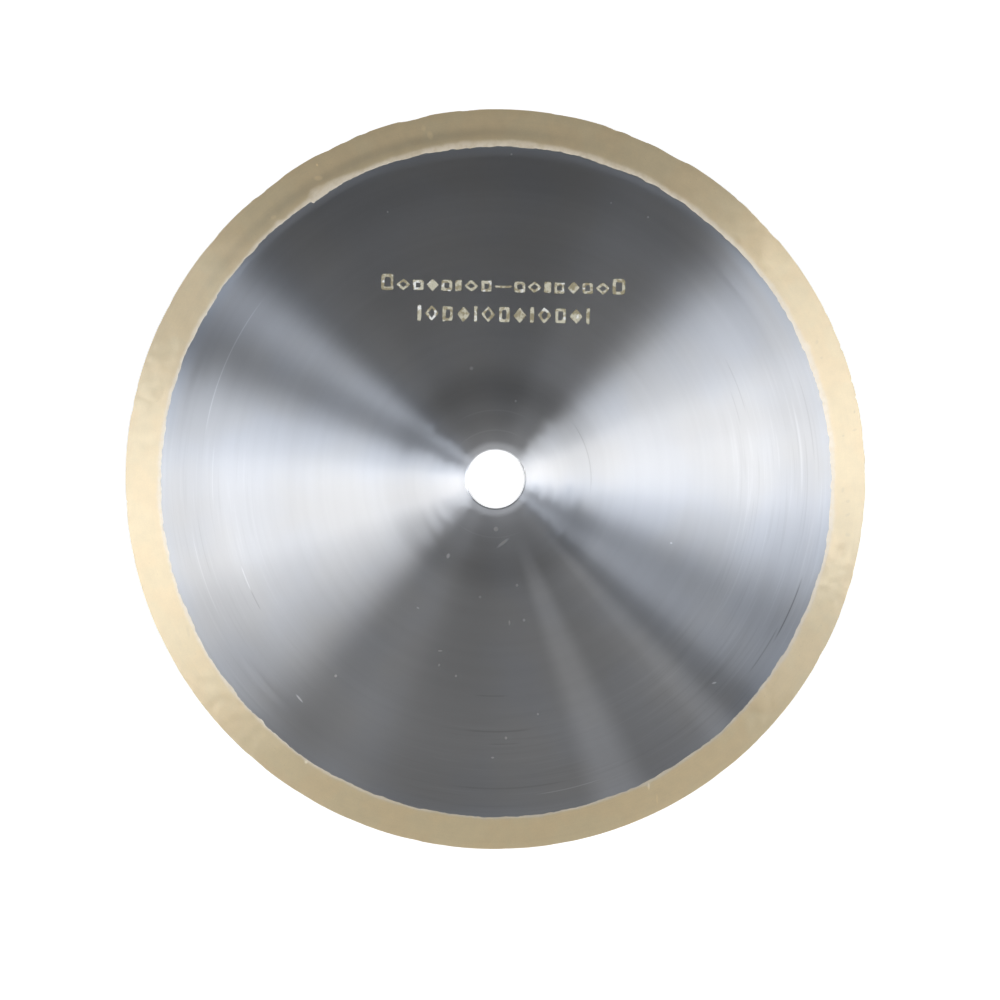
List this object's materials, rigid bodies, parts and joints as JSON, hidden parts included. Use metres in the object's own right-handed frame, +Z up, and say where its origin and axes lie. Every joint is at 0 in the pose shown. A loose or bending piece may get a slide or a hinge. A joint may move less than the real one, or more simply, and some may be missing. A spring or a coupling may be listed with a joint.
{
  "type": "metallographic cut-off wheel",
  "caption": "Thin round cut-off wheel for sectioning specimens: a flat steel disc with a plain arbor bore and a continuous sintered diamond rim.",
  "frame": {"origin": "middle of the arbor bore, level with the rim's lower side, on which the wheel lies", "axes": "+Z up along the arbor; +Y towards the side where the rim reaches furthest in over the disc, which is the top of the picture"},
  "size_m": [0.16, 0.16, 0.0005],
  "materials": {
    "ground_steel": "satin",
    "bronze_bond": "matte"
  },
  "bodies": {
    "root": {"core_disc": "ground_steel", "diamond_rim": "bronze_bond"}
  },
  "joints": []
}
